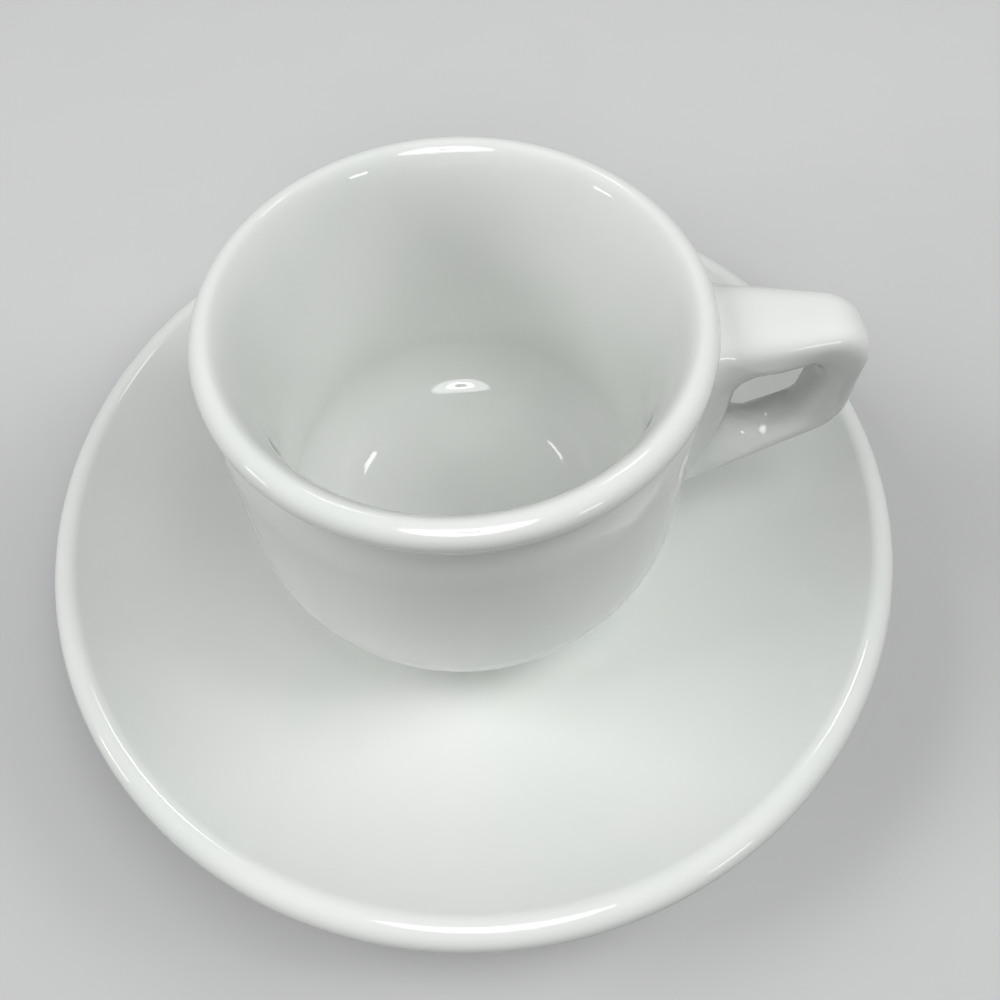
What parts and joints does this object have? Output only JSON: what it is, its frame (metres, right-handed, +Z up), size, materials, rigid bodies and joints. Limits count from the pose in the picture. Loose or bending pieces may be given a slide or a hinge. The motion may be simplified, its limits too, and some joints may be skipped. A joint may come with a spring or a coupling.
{
  "type": "demitasse cup and saucer",
  "caption": "Small thick-walled white china cup with a rolled rim and an angular ring handle, standing in the well of a deep round saucer.",
  "frame": {"origin": "centre of the saucer's foot ring, on the surface that the saucer stands on", "axes": "+Z up, +X from the middle of the saucer towards the cup's handle"},
  "size_m": [0.12, 0.12, 0.058],
  "materials": {
    "white_china": "clear gloss glaze, bare only under the foot rings"
  },
  "bodies": {
    "saucer": {"saucer": "white_china"},
    "cup": {"cup_body": "white_china", "cup_handle": "white_china"}
  },
  "joints": [
    {"name": "cup_lift", "type": "slide", "parent": "saucer", "child": "cup", "axis": [0, 0, 1], "range_m": [0, 0.06]}
  ]
}
